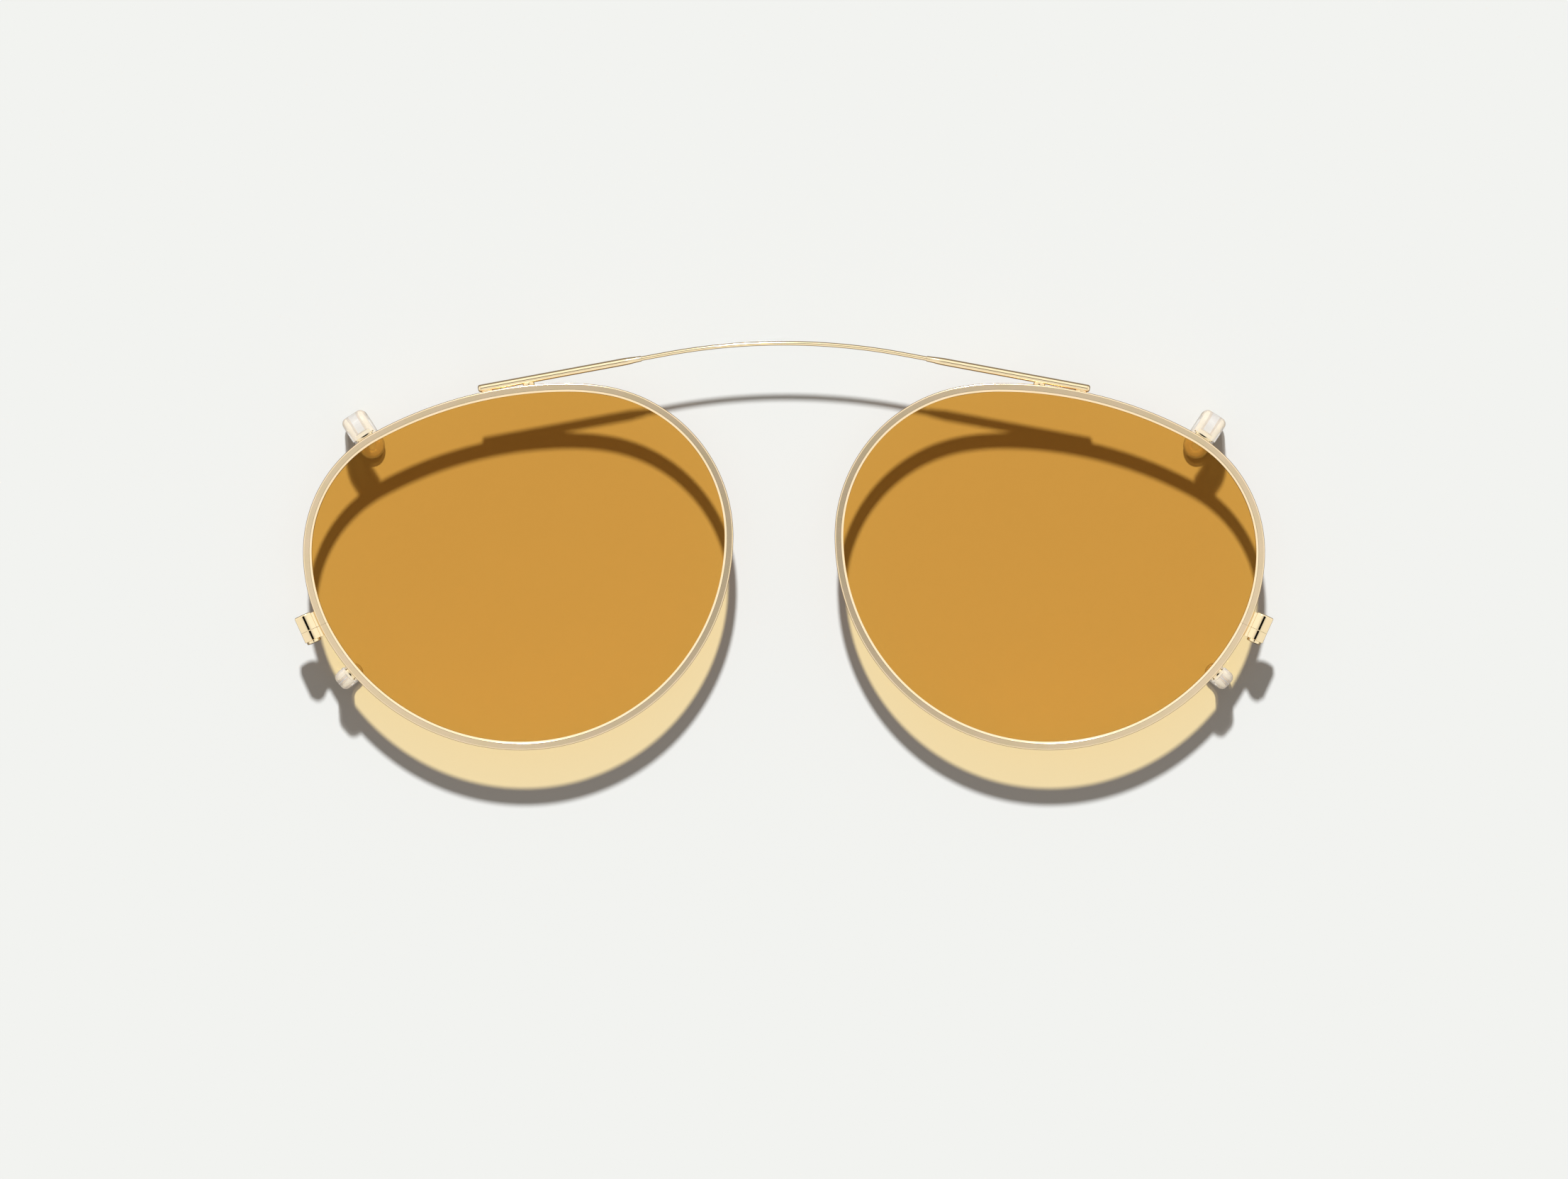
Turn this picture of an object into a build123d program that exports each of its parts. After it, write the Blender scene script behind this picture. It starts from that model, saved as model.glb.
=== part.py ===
"""Clip-on sun lenses on a spring-loaded telescoping bridge.

The clip lies on the hooks of its four prongs with the lens fronts up (+Z), the bridge
towards +Y and the wearer's left and right along X. The origin is the middle of the
footprint, on the surface that the hooks stand on. Each piece is drawn for the +X side
and mirrored for the other one. Lengths are millimetres and angles degrees.
"""
import math
import os

from build123d import *

# lens outline, seen from the front: the opening of one eyewire, about its own middle
LENS_WIDTH = 53.0
LENS_HEIGHT = 44.9
LENS_GAP = 15.2            # across the nose, from lens to lens
TEMPLE_Y = 1.9             # height of the outermost point
NOSE_Y = 3.9               # height of the innermost point
TOP_X = -6.4               # the highest point lies towards the nose
BOTTOM_X = -0.3            # the lowest point is almost in the middle
TEMPLE_TOP_RATIO = 0.75    # how each quarter's two arcs share its turn
TOP_NOSE_RATIO = 0.16
NOSE_BOTTOM_RATIO = 1.0
BOTTOM_TEMPLE_RATIO = 3.0

# eyewire and lens
LENS_THICKNESS = 0.9
LENS_BEVEL = 0.4           # the lens edge's V, which sits in the eyewire's groove
LENS_FIT = 0.03            # clearance of the lens in its groove
RIM_WALL = 0.7             # metal outside the groove
RIM_ROUND = 0.18           # rounding of the outer edges
LIP_WIDTH = 0.25           # polished bevel beside the lens
LIP_DROP = 0.15
LIP_LAND = 0.07            # flat left between the bevel and the groove
RIM_SLIT = 0.06            # gap that the closing screw draws together

# bridge: a bowed wire whose straight ends slide in two tubes
WIRE_D = 0.57
BOW_RADIUS = 83.2
TUBE_SLOPE = 10.5          # fall of each tube from the bridge outwards
TUBE_WALL = 0.08
TUBE_GAP = 0.02            # solder film between tube and eyewire
TUBE_LIFT = 0.1            # tube axis above the middle of the eyewire
WIRE_LEAD = 3.2            # straight wire seen between the bow and the tube
TUBE_PAST = 2.0            # tube beyond the place where it touches the eyewire
NECK_LENGTH = 2.3
NECK_WALL = 0.055
NECK_FIT = 0.02            # radial running clearance of the wire in the neck
PLUG_LENGTH = 1.4
PLUG_HEAD = 0.35
PLUG_ROUND = 0.25
STOP_LENGTH = 1.2
STOP_FIT = 0.03            # radial running clearance of the stop in the tube
STOP_END_GAP = 0.02
SPRING_WIRE_D = 0.09
SPRING_FIT = 0.0125        # radial clearance of the coil, inside and outside
SPRING_TURNS = 24
SPRING_END_GAP = 0.05

# solder between tube and eyewire
SOLDER_LENGTH = 1.5
SOLDER_HEIGHT = 0.7
SOLDER_REACH = 1.2         # how far the solder reaches from the tube axis to the eyewire
SOLDER_INNER = -4.5        # along the tube from where it touches the eyewire
SOLDER_OUTER = 0.9

# closing block, split across, that clamps the eyewire round the lens
BLOCK_AT = 0.16            # share of the lower temple arc
BLOCK_LENGTH = 3.5
BLOCK_WIDTH = 2.2
BLOCK_DEPTH = 1.6
BLOCK_ROUND = 0.55
BLOCK_END_ROUND = 0.2
BLOCK_GAP = 0.4            # width of the rail between block and eyewire
RAIL_DEPTH = 0.9
BLOCK_SPLIT = 2.17         # from the block's top end to the split
SCREW_D = 0.9
SCREW_FIT = 0.05
SCREW_HEAD_D = 1.9
SCREW_HEAD = 0.4
SCREW_SLOT = 0.25
SCREW_SLOT_DEPTH = 0.18
SCREW_BLIND = 0.3          # metal left above the screw's tip
HEAD_ROUND = 0.12

# prongs: a doubled wire in a clear sleeve, bent to a C behind the eyewire
FRAME_GAP = 4.6            # between the eyewire's back and the hook
PRONG_WIRE_D = 0.85
SLEEVE_WALL = 0.35
SLEEVE_BEND = 0.325        # inside radius of the sleeve's two bends
SLEEVE_START = 0.3         # bare length between eyewire and sleeve
ARM_DROP = 0.25            # prong arm below the middle of the eyewire
FOOT_COVER = 0.125         # foot above and below the wires
FOOT_ROUND = 0.3
WIRE_INTO_FOOT = 0.15
# arc and share: where on the outline; gap: between the two wires; straight: sleeve before its
# first bend; tip: how far the hook goes in past the lens edge; foot_side and foot_out: how far
# the foot goes past the wires' middles and out of the eyewire
UPPER_PRONG = {
    "arc": 0, "share": 0.93, "gap": 0.95, "straight": 1.325, "tip": 1.7, "foot_side": 0.2, "foot_out": 0.95
}
LOWER_PRONG = {
    "arc": 6, "share": 0.805, "gap": 0.1, "straight": 0.025, "tip": 0.2, "foot_side": 0.325, "foot_out": 0.7
}

# sizes that follow from those
LENS_PITCH = LENS_WIDTH + LENS_GAP
RIM_WIDTH = LENS_BEVEL + RIM_WALL
RIM_DEPTH = LENS_THICKNESS + 2 * (LENS_FIT + LIP_LAND + LIP_DROP)
TUBE_ID = WIRE_D + 2 * (SPRING_WIRE_D + 2 * SPRING_FIT)
TUBE_OD = TUBE_ID + 2 * TUBE_WALL
NECK_ID = WIRE_D + 2 * NECK_FIT
NECK_OD = NECK_ID + 2 * NECK_WALL
SLEEVE_DEPTH = PRONG_WIRE_D + 2 * SLEEVE_WALL
BEND_RADIUS = SLEEVE_DEPTH / 2 + SLEEVE_BEND
FOOT_DEPTH = PRONG_WIRE_D + 2 * FOOT_COVER
RIM_Z = SLEEVE_DEPTH + FRAME_GAP + RIM_DEPTH / 2      # middle of the eyewire
ARM_Z = RIM_Z - ARM_DROP
HOOK_Z = SLEEVE_DEPTH / 2
TUBE_Z = RIM_Z + TUBE_LIFT
UP = Vector(0, 0, 1)


def outward(direction):
    """The direction out of the lens, square to an anticlockwise outline."""
    return Vector(direction.Y, -direction.X)


def quarters(middle):
    """The outline's four quarters: start, its direction, end, its direction, ratio."""
    half_w, half_h = LENS_WIDTH / 2, LENS_HEIGHT / 2
    ends = [
        (middle + Vector(half_w, TEMPLE_Y), Vector(0, 1)),
        (middle + Vector(TOP_X, half_h), Vector(-1, 0)),
        (middle + Vector(-half_w, NOSE_Y), Vector(0, -1)),
        (middle + Vector(BOTTOM_X, -half_h), Vector(1, 0)),
    ]
    ratios = [TEMPLE_TOP_RATIO, TOP_NOSE_RATIO, NOSE_BOTTOM_RATIO, BOTTOM_TEMPLE_RATIO]
    return [(*ends[i], *ends[(i + 1) % 4], ratios[i]) for i in range(4)]


def meeting(start, start_dir, end, end_dir, ratio):
    """Where a quarter's two arcs meet, and their direction there."""
    span = end - start
    a = 2 * ratio * (start_dir.dot(end_dir) - 1)
    b = -2 * (ratio * span.dot(start_dir) + span.dot(end_dir))
    reach = (-b - math.sqrt(b * b - 4 * a * span.dot(span))) / (2 * a)
    near = start + start_dir * (ratio * reach)
    far = end - end_dir * reach
    return (near + far * ratio) * (1 / (1 + ratio)), (far - near).normalized()


def outline(middle, grow=0.0):
    """The lens outline moved outwards by grow, as eight tangent arcs from the temple."""
    with BuildLine() as line:
        arcs = []
        for start, start_dir, end, end_dir, ratio in quarters(middle):
            meet, meet_dir = meeting(start, start_dir, end, end_dir, ratio)
            first = start + outward(start_dir) * grow
            second = meet + outward(meet_dir) * grow
            third = end + outward(end_dir) * grow
            arcs.append(TangentArc(first, second, tangent=start_dir))
            arcs.append(TangentArc(second, third, tangent=meet_dir))
    return line.line, arcs


def touch_point(middle):
    """Where a line with the tubes' slope touches the eyewire, and the way out of it there."""
    slope = math.radians(TUBE_SLOPE)
    lift = Vector(math.sin(slope), math.cos(slope))
    top_arc = outline(middle, RIM_WIDTH)[1][1]
    return top_arc.arc_center + lift * top_arc.radius, lift


# heights along Y: the footprint's middle is the origin
slope_angle = math.radians(TUBE_SLOPE)
bow_end_x = BOW_RADIUS * math.sin(slope_angle)
touch, lift = touch_point(Vector(LENS_PITCH / 2, 0))
axis_distance = touch.dot(lift) + TUBE_OD / 2 + TUBE_GAP
bow_end_y = (axis_distance - lift.X * bow_end_x) / lift.Y
bow_rise = BOW_RADIUS * (1 - math.cos(slope_angle))
top_y = bow_end_y + bow_rise + WIRE_D / 2
bottom_y = -LENS_HEIGHT / 2 - RIM_WIDTH
LENS_Y = -(top_y + bottom_y) / 2

lens_middle = Vector(LENS_PITCH / 2, LENS_Y)
lens_line, lens_arcs = outline(lens_middle)
rim_line = outline(lens_middle, RIM_WIDTH)[0]
touch = touch_point(lens_middle)[0]

# tube axis: from its neck outwards
tube_dir = Vector(math.cos(slope_angle), -math.sin(slope_angle))
bow_end = Vector(bow_end_x, bow_end_y + LENS_Y, TUBE_Z)
bow_top = Vector(0, bow_end.Y + bow_rise, TUBE_Z)
tube_start = bow_end + tube_dir * WIRE_LEAD
touch_along = (touch - tube_start).dot(tube_dir)
tube_length = touch_along + TUBE_PAST - PLUG_HEAD
tube_plane = Plane(origin=tube_start, x_dir=UP, z_dir=tube_dir)
stop_end = tube_length - PLUG_LENGTH - STOP_END_GAP
stop_start = stop_end - STOP_LENGTH


def station(arc, share, drop=0.0):
    """A plane across the eyewire: X outwards, Y up, origin on the lens edge."""
    point = lens_arcs[arc] @ share
    out = outward(lens_arcs[arc] % share)
    return Plane(origin=point + UP * (RIM_Z - drop), x_dir=out, z_dir=out.cross(UP))


block_plane = station(7, BLOCK_AT)
along_block = -block_plane.z_dir           # anticlockwise, which is upwards here
block_middle_u = RIM_WIDTH + BLOCK_GAP + BLOCK_WIDTH / 2
split_v = BLOCK_LENGTH / 2 - BLOCK_SPLIT


def across_block(v):
    """The plane across the closing block at v along it, with its normal downwards."""
    return Plane(block_plane.origin + along_block * v, x_dir=block_plane.x_dir, z_dir=-along_block)


made = {}


def keep(name, part):
    """Label a finished piece and remember it for writing."""
    part.label = name
    made[name] = part


def keep_pair(name, part):
    """Keep a piece of the +X side and its mirror image."""
    keep("right_" + name, part)
    with BuildPart() as other_side:
        add(part)
        mirror(about=Plane.YZ, mode=Mode.REPLACE)
    keep("left_" + name, other_side.part)


# ---- lens and eyewire
def lens_blank(clearance):
    """A lens with its edge bevelled to both sides, grown all round by a clearance."""
    half = LENS_THICKNESS / 2 + clearance
    with BuildPart() as blank:
        with BuildSketch(Plane.XY.offset(RIM_Z - half)):
            with BuildLine():
                add(outline(lens_middle, LENS_BEVEL + clearance - LENS_FIT)[0])
            make_face()
        extrude(amount=2 * half)
        faces = blank.faces().filter_by(Axis.Z)
        chamfer(faces.edges(), length=LENS_BEVEL)
    return blank.part


with BuildPart() as rim_blank:
    with BuildSketch(Plane.XY.offset(RIM_Z - RIM_DEPTH / 2)):
        with BuildLine():
            add(rim_line)
        make_face()
    extrude(amount=RIM_DEPTH)
    fillet(rim_blank.faces().filter_by(Axis.Z).edges(), radius=RIM_ROUND)

with BuildPart() as slit:
    with BuildSketch(across_block(split_v + RIM_SLIT / 2)):
        with Locations((block_middle_u / 2, 0)):
            Rectangle(2 * BLOCK_WIDTH + block_middle_u, 3 * BLOCK_DEPTH)
    extrude(amount=RIM_SLIT)

with BuildPart() as rim:
    add(rim_blank.part)
    with BuildSketch(Plane.XY.offset(RIM_Z - RIM_DEPTH / 2)):
        with BuildLine():
            add(lens_line)
        make_face()
    extrude(amount=RIM_DEPTH, mode=Mode.SUBTRACT)
    inner_front = rim.faces().filter_by(Axis.Z).sort_by(Axis.Z)[-1].inner_wires().edges()
    front_face = rim.faces().filter_by(Axis.Z).sort_by(Axis.Z)[-1]
    chamfer(inner_front, length=LIP_WIDTH, length2=LIP_DROP, reference=front_face)
    add(lens_blank(LENS_FIT), mode=Mode.SUBTRACT)
    add(slit.part, mode=Mode.SUBTRACT)

keep_pair("rim", rim.part)
keep_pair("lens", lens_blank(0.0))

# ---- closing block and screw
screw_top = BLOCK_LENGTH / 2 - SCREW_BLIND


def closing_block(v_top, v_bottom, rounded_end):
    """One half of the closing block, between two places along it."""
    length = v_top - v_bottom
    with BuildPart() as half:
        with BuildSketch(across_block(v_top)):
            with Locations((block_middle_u, 0)):
                RectangleRounded(BLOCK_WIDTH, BLOCK_DEPTH, BLOCK_ROUND)
        extrude(amount=length)
        if rounded_end:
            top_face = half.faces().sort_by(Axis(block_plane.origin, along_block))[-1]
            fillet(top_face.edges(), radius=BLOCK_END_ROUND)
        with BuildSketch(across_block(v_top)):
            with Locations(((block_middle_u) / 2, 0)):
                Rectangle(block_middle_u, RAIL_DEPTH)
        extrude(amount=length)
        add(rim_blank.part, mode=Mode.SUBTRACT)
    return half.part


def screw_hole(half, v_top, depth, diameter):
    """A closing block half with the screw's hole in it."""
    with BuildPart() as drilled:
        add(half)
        with BuildSketch(across_block(v_top)):
            with Locations((block_middle_u, 0)):
                Circle(diameter / 2)
        extrude(amount=depth, mode=Mode.SUBTRACT)
    return drilled.part


upper_half = closing_block(BLOCK_LENGTH / 2, split_v + RIM_SLIT / 2, True)
lower_half = closing_block(split_v - RIM_SLIT / 2, -BLOCK_LENGTH / 2, False)
keep_pair("closing_block_upper", screw_hole(upper_half, screw_top, BLOCK_LENGTH, SCREW_D))
keep_pair(
    "closing_block_lower", screw_hole(lower_half, screw_top, 2 * BLOCK_LENGTH, SCREW_D + 2 * SCREW_FIT)
)

with BuildPart() as closing_screw:
    with BuildSketch(across_block(screw_top)):
        with Locations((block_middle_u, 0)):
            Circle(SCREW_D / 2)
    extrude(amount=screw_top + BLOCK_LENGTH / 2)
    with BuildSketch(across_block(-BLOCK_LENGTH / 2)):
        with Locations((block_middle_u, 0)):
            Circle(SCREW_HEAD_D / 2)
    extrude(amount=SCREW_HEAD)
    head_end = closing_screw.faces().sort_by(Axis(block_plane.origin, along_block))[0]
    fillet(head_end.edges(), radius=HEAD_ROUND)
    with BuildSketch(across_block(-BLOCK_LENGTH / 2 - SCREW_HEAD + SCREW_SLOT_DEPTH)):
        with Locations((block_middle_u, 0)):
            Rectangle(2 * SCREW_HEAD_D, SCREW_SLOT)
    extrude(amount=SCREW_HEAD, mode=Mode.SUBTRACT)
keep_pair("closing_screw", closing_screw.part)

# ---- bridge
with BuildPart() as bridge_wire:
    with BuildLine() as wire_path:
        wire_end = tube_start + tube_dir * stop_end
        left_end = Vector(-wire_end.X, wire_end.Y, wire_end.Z)
        left_bow_end = Vector(-bow_end.X, bow_end.Y, bow_end.Z)
        Line(left_end, left_bow_end)
        ThreePointArc(left_bow_end, bow_top, bow_end)
        Line(bow_end, wire_end)
    with BuildSketch(Plane(origin=left_end, z_dir=wire_path.line.edges()[0] % 0)):
        Circle(WIRE_D / 2)
    sweep(path=wire_path.line)
keep("bridge_wire", bridge_wire.part)


def ring(outer_d, inner_d, start, length):
    """A round piece on the tube's axis, bored through when inner_d isn't 0."""
    with BuildPart() as turned:
        with BuildSketch(tube_plane.offset(start)):
            Circle(outer_d / 2)
            if inner_d:
                Circle(inner_d / 2, mode=Mode.SUBTRACT)
        extrude(amount=length)
    return turned.part


with BuildPart() as bridge_tube:
    with BuildSketch(tube_plane):
        Circle(NECK_OD / 2)
    with BuildSketch(tube_plane.offset(NECK_LENGTH)):
        Circle(TUBE_OD / 2)
    loft()
    add(ring(TUBE_OD, 0, NECK_LENGTH, tube_length - NECK_LENGTH))
    add(ring(NECK_ID, 0, 0, NECK_LENGTH), mode=Mode.SUBTRACT)
    add(ring(TUBE_ID, 0, NECK_LENGTH, tube_length - NECK_LENGTH), mode=Mode.SUBTRACT)
keep_pair("bridge_tube", bridge_tube.part)

with BuildPart() as tube_plug:
    add(ring(TUBE_ID, 0, tube_length - PLUG_LENGTH, PLUG_LENGTH))
    add(ring(TUBE_OD, 0, tube_length, PLUG_HEAD))
    plug_end = tube_plug.faces().sort_by(Axis(tube_start, tube_dir))[-1]
    fillet(plug_end.edges(), radius=PLUG_ROUND)
keep_pair("tube_plug", tube_plug.part)

keep_pair("wire_stop", ring(TUBE_ID - 2 * STOP_FIT, WIRE_D, stop_start, STOP_LENGTH))

coil_radius = TUBE_ID / 2 - SPRING_FIT - SPRING_WIRE_D / 2
coil_start = NECK_LENGTH + SPRING_END_GAP + SPRING_WIRE_D / 2
coil_height = stop_start - SPRING_END_GAP - SPRING_WIRE_D / 2 - coil_start
with BuildPart() as return_spring:
    with BuildLine() as coil:
        Helix(
            pitch=coil_height / SPRING_TURNS,
            height=coil_height,
            radius=coil_radius,
            center=tube_start + tube_dir * coil_start,
            direction=tube_dir,
        )
    with BuildSketch(Plane(origin=coil.line @ 0, z_dir=coil.line % 0)):
        Circle(SPRING_WIRE_D / 2)
    sweep(path=coil.line, is_frenet=True)
keep_pair("return_spring", return_spring.part)

with BuildPart() as tube_solder:
    for place in (SOLDER_INNER, SOLDER_OUTER):
        middle = tube_start + tube_dir * (touch_along + place)
        with BuildSketch(Plane(middle - tube_dir * (SOLDER_LENGTH / 2), x_dir=UP, z_dir=tube_dir)):
            with Locations((0, SOLDER_REACH / 2)):
                RectangleRounded(SOLDER_HEIGHT, SOLDER_REACH, SOLDER_HEIGHT / 4)
        extrude(amount=SOLDER_LENGTH)
    add(rim_blank.part, mode=Mode.SUBTRACT)
    add(ring(TUBE_OD, 0, 0, tube_length), mode=Mode.SUBTRACT)
    add(ring(TUBE_OD, 0, tube_length, PLUG_HEAD), mode=Mode.SUBTRACT)
keep_pair("tube_solder", tube_solder.part)


# ---- prongs
def make_prong(name, prong):
    """A doubled wire from its foot on the eyewire, its clear sleeve and the foot."""
    plane = station(prong["arc"], prong["share"], RIM_Z)
    out = plane.x_dir
    sideways = out.cross(UP) * -1
    post = RIM_WIDTH + SLEEVE_START + prong["straight"] + BEND_RADIUS
    leg = (prong["gap"] + PRONG_WIRE_D) / 2
    sleeve_width = 2 * leg + SLEEVE_DEPTH
    tip = sleeve_width / 2 - prong["tip"]
    tip_point = plane.from_local_coords((tip, HOOK_Z, 0))

    def c_path(start):
        with BuildLine(plane) as path:
            FilletPolyline((start, ARM_Z), (post, ARM_Z), (post, HOOK_Z), (tip, HOOK_Z), radius=BEND_RADIUS)
        return path.line

    wire_line = c_path(RIM_WIDTH + WIRE_INTO_FOOT)
    with BuildPart() as wire:
        with BuildSketch(Plane(origin=wire_line @ 0, x_dir=sideways, z_dir=out)):
            with Locations((-leg, 0), (leg, 0)):
                Circle(PRONG_WIRE_D / 2)
        sweep(path=wire_line)
        with BuildSketch(Plane(origin=tip_point, x_dir=sideways, z_dir=out * -1)):
            with Locations((leg, 0)):
                Circle(PRONG_WIRE_D / 2)
        revolve(axis=Axis(tip_point, UP), revolution_arc=180)

    with BuildPart() as foot:
        with BuildSketch(Plane(plane.from_local_coords((0, ARM_Z, 0)), x_dir=sideways, z_dir=out)):
            RectangleRounded(2 * (leg + prong["foot_side"]), FOOT_DEPTH, FOOT_DEPTH * 0.45)
        extrude(amount=RIM_WIDTH + prong["foot_out"])
        outer_face = foot.faces().sort_by(Axis(plane.origin, out))[-1]
        fillet(outer_face.edges(), radius=FOOT_ROUND)
        add(rim_blank.part, mode=Mode.SUBTRACT)
        add(wire.part, mode=Mode.SUBTRACT)

    sleeve_line = c_path(RIM_WIDTH + SLEEVE_START)
    with BuildPart() as sleeve:
        with BuildSketch(Plane(origin=sleeve_line @ 0, x_dir=sideways, z_dir=out)):
            SlotOverall(sleeve_width, SLEEVE_DEPTH)
        sweep(path=sleeve_line)
        with BuildSketch(plane):
            with Locations((tip, HOOK_Z)):
                SlotOverall(sleeve_width, SLEEVE_DEPTH)
            with Locations((tip - sleeve_width / 2, HOOK_Z)):
                Rectangle(sleeve_width, SLEEVE_DEPTH, mode=Mode.SUBTRACT)
        revolve(axis=Axis(tip_point, UP))
        add(wire.part, mode=Mode.SUBTRACT)
        add(foot.part, mode=Mode.SUBTRACT)

    keep_pair(name + "_wire", wire.part)
    keep_pair(name + "_foot", foot.part)
    keep_pair(name + "_sleeve", sleeve.part)


make_prong("upper_prong", UPPER_PRONG)
make_prong("lower_prong", LOWER_PRONG)

# ---- write every piece
os.makedirs("parts", exist_ok=True)
for name, part in made.items():
    export_step(part, f"parts/{name}.step")
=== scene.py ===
# %% [markdown]
# # Clip-on sun lenses with a telescoping bridge
# The clip is two thin gold eyewires with amber lenses. A bowed wire joins them and slides in
# two small tubes, so that the halves can be pulled apart and spring back. Four prongs in clear
# sleeves reach down behind the eyewires and hook over a spectacle frame.
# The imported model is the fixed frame. Each visible piece is rebuilt here as a finer mesh in the
# same place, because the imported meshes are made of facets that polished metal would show.

# %% Load the frame
import math

import bmesh
import bpy
from mathutils import Matrix, Vector


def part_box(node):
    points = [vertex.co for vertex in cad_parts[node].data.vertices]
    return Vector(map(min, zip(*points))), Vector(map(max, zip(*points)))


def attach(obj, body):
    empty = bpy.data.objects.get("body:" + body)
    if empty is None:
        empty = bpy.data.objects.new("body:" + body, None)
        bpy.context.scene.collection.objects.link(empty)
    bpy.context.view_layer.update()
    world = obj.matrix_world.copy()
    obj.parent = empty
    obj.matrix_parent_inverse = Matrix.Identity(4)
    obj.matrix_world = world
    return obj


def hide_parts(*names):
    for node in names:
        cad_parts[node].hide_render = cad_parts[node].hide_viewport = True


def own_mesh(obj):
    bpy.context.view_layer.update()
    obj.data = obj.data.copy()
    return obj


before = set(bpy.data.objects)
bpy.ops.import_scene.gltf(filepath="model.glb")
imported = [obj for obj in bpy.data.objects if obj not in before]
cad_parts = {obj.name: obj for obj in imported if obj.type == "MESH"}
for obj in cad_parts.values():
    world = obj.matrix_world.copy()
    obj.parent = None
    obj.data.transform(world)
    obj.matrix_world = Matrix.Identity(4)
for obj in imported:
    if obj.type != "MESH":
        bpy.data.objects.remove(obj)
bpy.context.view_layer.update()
MM = 0.001
SIDES = {"right": 1, "left": -1}

# %% [markdown]
# ## Measures
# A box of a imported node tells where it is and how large, so most places come from there.
# What a box can't tell, such as a rounding or the share of an arc, is a named value.

# %% Measures
lens_low, lens_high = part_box("right_lens")
rim_low, rim_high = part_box("right_rim")
tube_low, tube_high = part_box("right_bridge_tube")
wire_low, wire_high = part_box("bridge_wire")

LENS_IN_GROOVE = 0.37 * MM        # how far the lens reaches into the eyewire
LENS_FACE_IN = 0.03 * MM          # the lens face ends just inside the opening
LENS_BEVEL = 0.4 * MM
HALF_W = (lens_high.x - lens_low.x) / 2 - LENS_IN_GROOVE
HALF_H = (lens_high.y - lens_low.y) / 2 - LENS_IN_GROOVE
LENS_MID = (lens_low + lens_high) / 2
RIM_WIDTH = rim_high.x - lens_high.x + LENS_IN_GROOVE
RIM_TOP = rim_high.z
RIM_BACK = rim_low.z
RIM_MID = (RIM_TOP + RIM_BACK) / 2
UP = Vector((0, 0, 1))
print("opening", round(2 * HALF_W / MM, 2), "x", round(2 * HALF_H / MM, 2), "rim", round(RIM_WIDTH / MM, 2))

# %% [markdown]
# ## The lens outline
# The outline is eight arcs that run into each other without a corner, two for each quarter
# between the outermost, highest, innermost and lowest points. Where two arcs of a quarter
# meet follows from one ratio, so the whole shape needs only a few numbers.

# %% Outline as arcs
TEMPLE_Y, NOSE_Y = 1.9 * MM, 3.9 * MM      # heights of the outermost and innermost points
TOP_X, BOTTOM_X = -6.4 * MM, -0.3 * MM     # where the outline is highest and lowest
RATIOS = (0.75, 0.16, 1.0, 3.0)            # how the two arcs of each quarter share its turn


def outward(direction):
    """The direction out of the lens, for a way round that is anticlockwise."""
    return Vector((direction.y, -direction.x, 0))


def arc(start, direction, end):
    """The arc that leaves start in a direction and reaches end: its centre and turn."""
    chord = end - start
    turn = 2 * math.atan2(direction.cross(chord).z, direction.dot(chord))
    radius = chord.length / (2 * math.sin(turn / 2))
    out = outward(direction)
    return {"start": start, "out": out, "centre": start - out * radius, "turn": turn}


def outline_arcs():
    """The eight arcs of the right lens, anticlockwise from the temple."""
    corners = [
        (Vector((HALF_W, TEMPLE_Y, 0)), Vector((0, 1, 0))),
        (Vector((TOP_X, HALF_H, 0)), Vector((-1, 0, 0))),
        (Vector((-HALF_W, NOSE_Y, 0)), Vector((0, -1, 0))),
        (Vector((BOTTOM_X, -HALF_H, 0)), Vector((1, 0, 0))),
    ]
    arcs = []
    for i, ratio in enumerate(RATIOS):
        start, start_way = corners[i]
        end, end_way = corners[(i + 1) % 4]
        span = end - start
        a = 2 * ratio * (start_way.dot(end_way) - 1)
        b = -2 * (ratio * span.dot(start_way) + span.dot(end_way))
        reach = (-b - math.sqrt(b * b - 4 * a * span.dot(span))) / (2 * a)
        near = start + start_way * (ratio * reach)
        far = end - end_way * reach
        meet = (near + far * ratio) / (1 + ratio)
        way = (far - near).normalized()
        flat_mid = Vector((LENS_MID.x, LENS_MID.y, 0))
        arcs.append(arc(start + flat_mid, start_way, meet + flat_mid))
        arcs.append(arc(meet + flat_mid, way, end + flat_mid))
    return arcs


ARCS = outline_arcs()


def station(number, share):
    """A point on the lens edge, a share of the way along one arc, and the way out there."""
    a = ARCS[number]
    turned = Matrix.Rotation(a["turn"] * share, 3, "Z")
    return a["centre"] + turned @ (a["start"] - a["centre"]), turned @ a["out"]


print("arc radii in mm", [round((a["start"] - a["centre"]).length / MM, 1) for a in ARCS])

# %% [markdown]
# ## Finishes
# Everything metal is the same pale gold plate over polished wire. Fine handling marks and a
# slow drift of the tint keep it from looking like a computer's gold. Both effects are used by
# several metals, so they are node groups with their own inputs.

# %% Helpers for nodes
def socket_pair(tree, spec, in_out):
    """Add named sockets to a node group."""
    for name, kind, value in spec:
        made = tree.interface.new_socket(name=name, in_out=in_out, socket_type=kind)
        if value is not None:
            made.default_value = value


def new_group(name, inputs, outputs):
    """An empty node group with its input and output nodes."""
    tree = bpy.data.node_groups.new(name, "ShaderNodeTree")
    socket_pair(tree, inputs, "INPUT")
    socket_pair(tree, outputs, "OUTPUT")
    return tree, tree.nodes.new("NodeGroupInput"), tree.nodes.new("NodeGroupOutput")


def add_node(tree, kind, **settings):
    """A new node with some of its settings and input values given."""
    node = tree.nodes.new(kind)
    for key, value in settings.items():
        if key.startswith("in_"):
            node.inputs[int(key[3:])].default_value = value
        else:
            setattr(node, key, value)
    return node


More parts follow.
